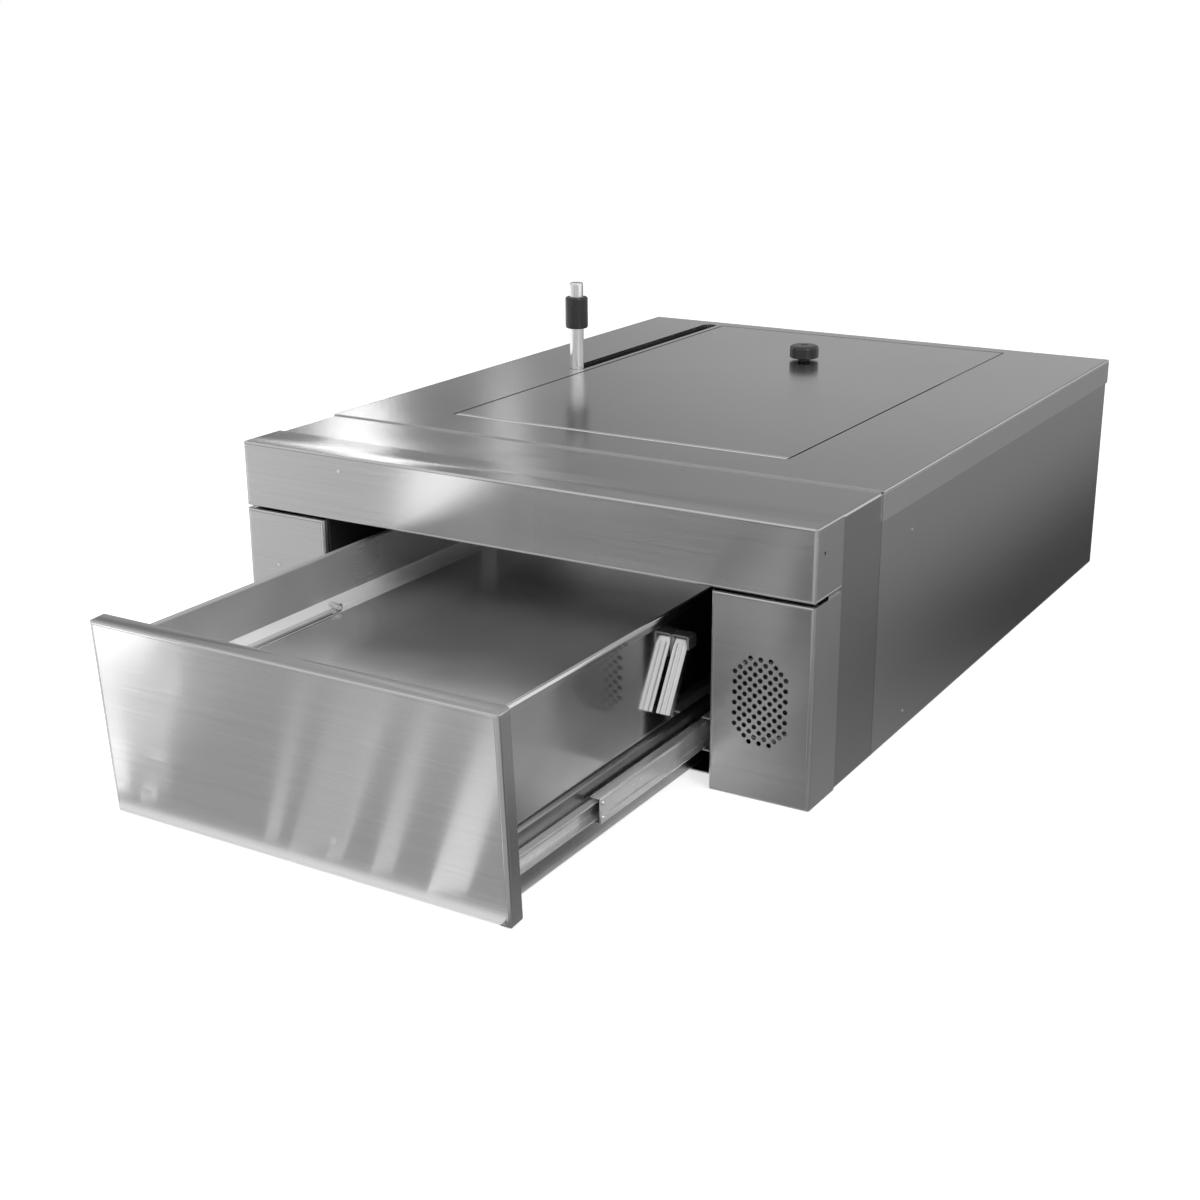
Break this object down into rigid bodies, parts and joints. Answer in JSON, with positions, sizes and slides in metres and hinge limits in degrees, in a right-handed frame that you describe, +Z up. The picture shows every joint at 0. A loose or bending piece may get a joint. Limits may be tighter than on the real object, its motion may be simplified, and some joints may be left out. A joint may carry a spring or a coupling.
{
  "type": "bank teller deposit drawer",
  "caption": "Counter-top bank deposit drawer of brushed stainless steel with telescopic slides, a deck lid, a slot with operating rod, and a speaker grille in the right pillar.",
  "frame": {"origin": "middle of the four counter bolt holes, in the plane of the unit's underside", "axes": "+X to the right seen from the customer's side, +Y from the customer's side to the teller's side, +Z up"},
  "size_m": [0.61, 1.1353, 0.349],
  "materials": {
    "steel": "brushed stainless steel",
    "deck": "satin brushed stainless steel, a little darker",
    "fascia": "brushed stainless steel with lengthwise grain",
    "tray_steel": "bright stainless steel, nearly polished",
    "black_liner": "matt black paint",
    "zinc": "zinc plated steel",
    "slide_steel": "bright zinc plated, rolled sections",
    "ball_cage": "pressed steel cage with steel balls",
    "speaker_paper": "black paper cone",
    "magnet": "dark ferrite between steel plates",
    "rubber_black": "black rubber",
    "guide_plastic": "black low-friction plastic",
    "hinge_steel": "stainless steel piano hinge",
    "black_plastic": "black moulded plastic, satin gloss",
    "rod_chrome": "bright turned stainless rod",
    "clip_steel": "bright spring steel",
    "rivet_steel": "bright steel rivets"
  },
  "bodies": {
    "housing": {"bottom_pan": "steel", "left_side_panel": "steel", "right_side_panel": "steel", "rear_panel": "steel", "top_cover": "deck", "wall_sleeve": "steel", "front_hood": "fascia", "left_pillar": "fascia", "right_pillar": "fascia", "hood_liner": "black_liner", "left_liner": "black_liner", "right_liner": "black_liner", "left_slide_carrier": "zinc", "right_slide_carrier": "zinc", "left_slide_outer": "slide_steel", "right_slide_outer": "slide_steel", "speaker_frame": "zinc", "speaker_cone": "speaker_paper", "speaker_magnet": "magnet", "speaker_gasket": "rubber_black", "speaker_nuts": "zinc", "slot_guide": "guide_plastic", "lid_shelf": "steel", "lid_hinge_fixed_leaf": "hinge_steel", "lid_hinge_pin": "hinge_steel", "stop_bar": "zinc", "stop_bumpers": "rubber_black", "casing_rivets": "rivet_steel", "slide_rivets": "rivet_steel"},
    "drawer": {"drawer_front": "fascia", "drawer_left_wall": "tray_steel", "drawer_right_wall": "tray_steel", "drawer_rear_wall": "tray_steel", "drawer_front_wall": "tray_steel", "tray_floor": "tray_steel", "drawer_left_rail": "steel", "drawer_right_rail": "steel", "left_slide_inner": "slide_steel", "right_slide_inner": "slide_steel", "rod_bracket": "zinc", "operating_rod": "rod_chrome", "rod_grip": "black_plastic", "rod_nut": "zinc", "bill_clip_base": "clip_steel", "latch_bracket": "zinc"},
    "left_intermediate": {"left_slide_intermediate": "slide_steel"},
    "right_intermediate": {"right_slide_intermediate": "slide_steel"},
    "outer_cages": {"left_outer_ball_cage": "ball_cage", "right_outer_ball_cage": "ball_cage"},
    "inner_cages": {"left_inner_ball_cage": "ball_cage", "right_inner_ball_cage": "ball_cage"},
    "lid": {"lid_panel": "deck", "lid_stiffeners": "steel", "lid_hinge_lid_leaf": "hinge_steel", "lid_knob": "black_plastic", "knob_screw": "zinc"},
    "bill_clip": {"bill_clip": "clip_steel"},
    "latch_pawl": {"latch_pawl": "zinc"}
  },
  "joints": [
    {"name": "drawer_slide", "type": "slide", "parent": "housing", "child": "drawer", "axis": [0, 1, 0], "range_m": [0, 0.308]},
    {"name": "left_intermediate_slide", "type": "slide", "parent": "housing", "child": "left_intermediate", "axis": [0, 1, 0], "range_m": [0, 0.19]},
    {"name": "right_intermediate_slide", "type": "slide", "parent": "housing", "child": "right_intermediate", "axis": [0, 1, 0], "range_m": [0, 0.19]},
    {"name": "outer_cage_slide", "type": "slide", "parent": "housing", "child": "outer_cages", "axis": [0, 1, 0], "range_m": [0, 0.095]},
    {"name": "inner_cage_slide", "type": "slide", "parent": "housing", "child": "inner_cages", "axis": [0, 1, 0], "range_m": [0, 0.25]},
    {"name": "lid_hinge", "type": "hinge", "parent": "housing", "child": "lid", "pos_m": [-0.0065, -0.222, 0.2476], "axis": [1, 0, 0], "range_deg": [0, 95]},
    {"name": "bill_clip_hinge", "type": "hinge", "parent": "drawer", "child": "bill_clip", "pos_m": [-0.163, -0.691, 0.1168], "axis": [1, 0, 0], "range_deg": [0, 25]},
    {"name": "latch_hinge", "type": "hinge", "parent": "drawer", "child": "latch_pawl", "pos_m": [0.185, -0.427, 0.134], "axis": [1, 0, 0], "range_deg": [0, 30], "stiffness_Nm_per_rad": 0.02, "springref_deg": -28.65}
  ],
  "couplings": [
    {"joint": "left_intermediate_slide", "follows": "drawer_slide", "ratio": 0.6},
    {"joint": "right_intermediate_slide", "follows": "drawer_slide", "ratio": 0.6},
    {"joint": "outer_cage_slide", "follows": "drawer_slide", "ratio": 0.3},
    {"joint": "inner_cage_slide", "follows": "drawer_slide", "ratio": 0.8}
  ]
}
